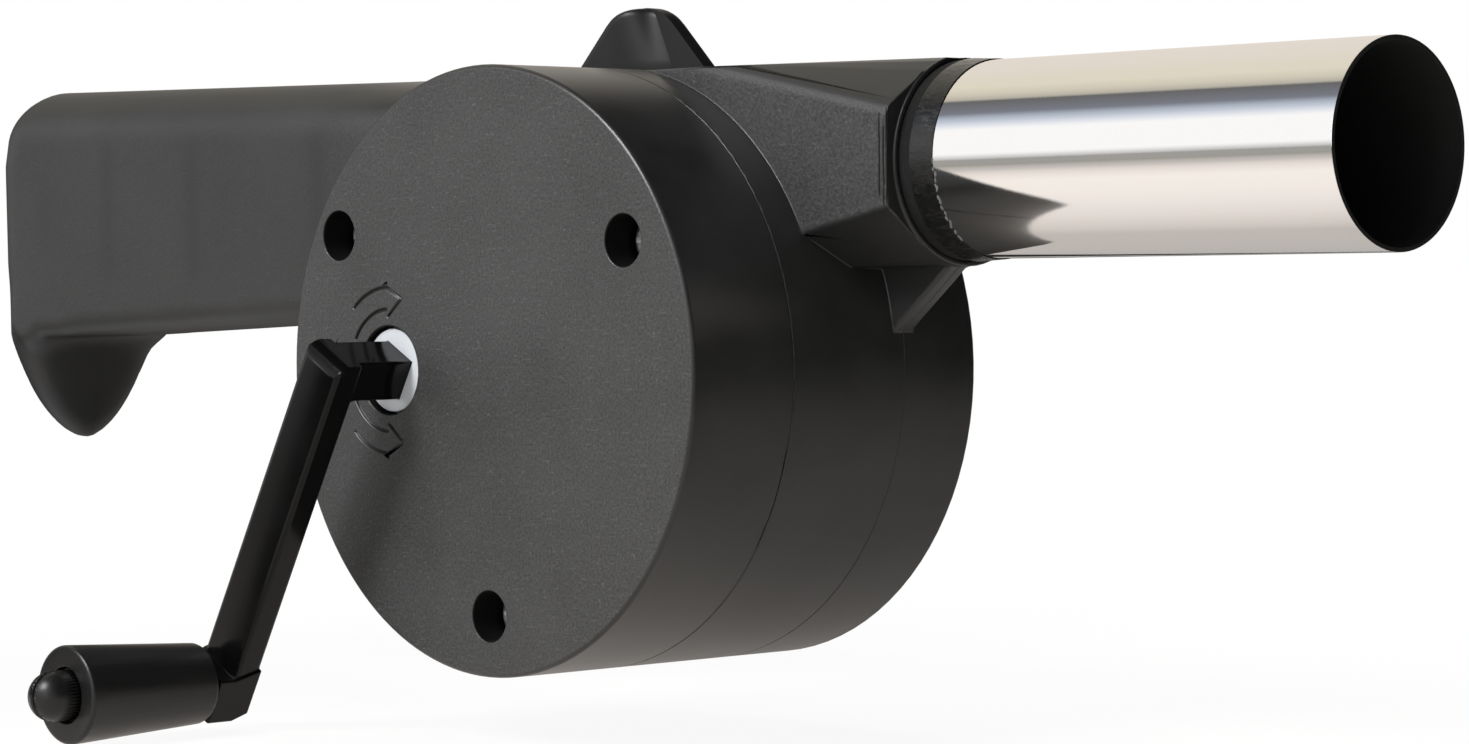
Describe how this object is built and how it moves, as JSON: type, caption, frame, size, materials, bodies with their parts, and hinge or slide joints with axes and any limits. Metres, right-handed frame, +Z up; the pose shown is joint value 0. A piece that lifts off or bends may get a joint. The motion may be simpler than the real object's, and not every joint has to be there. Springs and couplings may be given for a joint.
{
  "type": "hand-cranked blower",
  "caption": "Hand-cranked barbecue blower: a round black drum with a crank and a gear-driven fan, a broad handle with a finger guard, and a polished steel blast tube.",
  "frame": {"origin": "on the drum's axis, in the plane of the drum's rear face", "axes": "+X along the blast tube, the way the air leaves; +Y out of the rear face, along the drum's axis; +Z up"},
  "size_m": [0.2734, 0.0933, 0.0988],
  "materials": {
    "black_plastic": "black moulded plastic, satin with a fine grain",
    "crank_plastic": "black moulded plastic, semi-gloss",
    "knob_plastic": "black moulded plastic, satin",
    "fan_plastic": "black moulded plastic",
    "seal_rubber": "black, wet-looking gloss",
    "polished_steel": "polished steel tube",
    "steel": "plain bright steel",
    "brass": "turned brass",
    "white_nylon": "natural white nylon"
  },
  "bodies": {
    "housing": {"front_cover": "black_plastic", "mid_housing": "black_plastic", "rear_housing": "black_plastic", "blast_tube": "polished_steel", "tube_seal": "seal_rubber", "cover_screws": "steel", "housing_screws": "steel", "handle_screws": "steel", "ear_screw": "steel", "idler_axle": "steel", "idler_washers": "steel", "crank_washer": "steel", "fan_bush_front": "brass", "fan_bush_rear": "brass"},
    "crank": {"crank_gear": "white_nylon", "crank_arm": "crank_plastic"},
    "knob": {"crank_knob": "knob_plastic"},
    "idler": {"idler_gear": "white_nylon"},
    "fan": {"fan_shaft": "steel", "fan_pinion": "brass", "fan_washers": "steel", "fan_clip": "steel", "impeller": "fan_plastic"}
  },
  "joints": [
    {"name": "crank_spin", "type": "hinge", "parent": "housing", "child": "crank", "pos_m": [-0.0196, 0, 0], "axis": [0, 1, 0], "continuous": true},
    {"name": "knob_spin", "type": "hinge", "parent": "crank", "child": "knob", "pos_m": [-0.04361, 0, -0.0426], "axis": [0, 1, 0], "continuous": true},
    {"name": "idler_spin", "type": "hinge", "parent": "housing", "child": "idler", "pos_m": [-0.0098, 0, 0.01557], "axis": [0, 1, 0], "continuous": true},
    {"name": "fan_spin", "type": "hinge", "parent": "housing", "child": "fan", "pos_m": [0, 0, 0], "axis": [0, 1, 0], "continuous": true}
  ],
  "couplings": [
    {"joint": "idler_spin", "follows": "crank_spin", "ratio": -3.6},
    {"joint": "fan_spin", "follows": "crank_spin", "ratio": 12.96}
  ]
}
